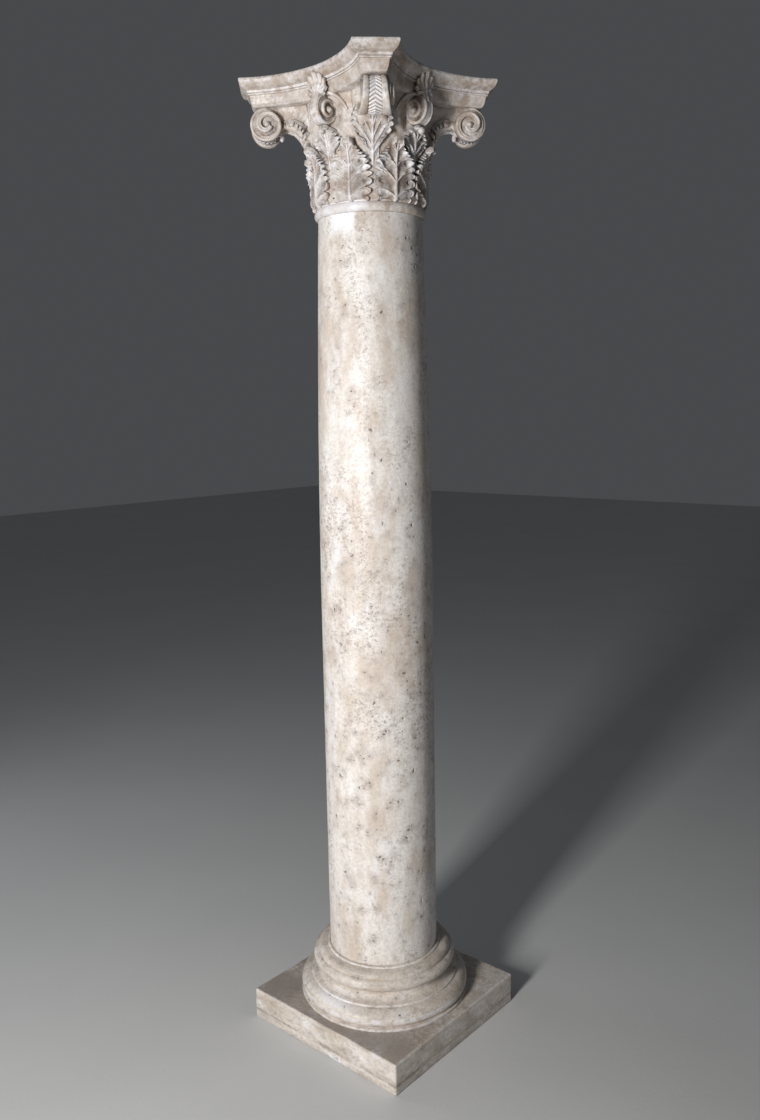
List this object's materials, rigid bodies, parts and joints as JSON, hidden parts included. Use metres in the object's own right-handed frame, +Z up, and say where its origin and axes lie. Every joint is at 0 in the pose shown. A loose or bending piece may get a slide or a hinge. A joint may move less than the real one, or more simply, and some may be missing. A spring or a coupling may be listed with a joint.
{
  "type": "corinthian column",
  "caption": "Free-standing corinthian column: square plinth, moulded attic base, smooth tapering shaft and a carved capital of acanthus leaves and volutes under a hollow-sided abacus.",
  "frame": {"origin": "centre of the plinth's underside, where the column stands on the floor", "axes": "+Z up the column's axis, X and Y square to the sides of the plinth and of the abacus"},
  "size_m": [0.5026, 0.5026, 2.4],
  "materials": {
    "base": "cast resin with an aged travertine finish, greyish brown with worn edges and a soft sheen",
    "shaft": "cast resin with an aged travertine finish, warm cream with cloudy patches and dark pits",
    "capital": "cast resin with an aged travertine finish, pale on the raised carving and brown in its hollows"
  },
  "bodies": {
    "root": {"base": "base", "shaft": "shaft", "capital": "capital"}
  },
  "joints": []
}
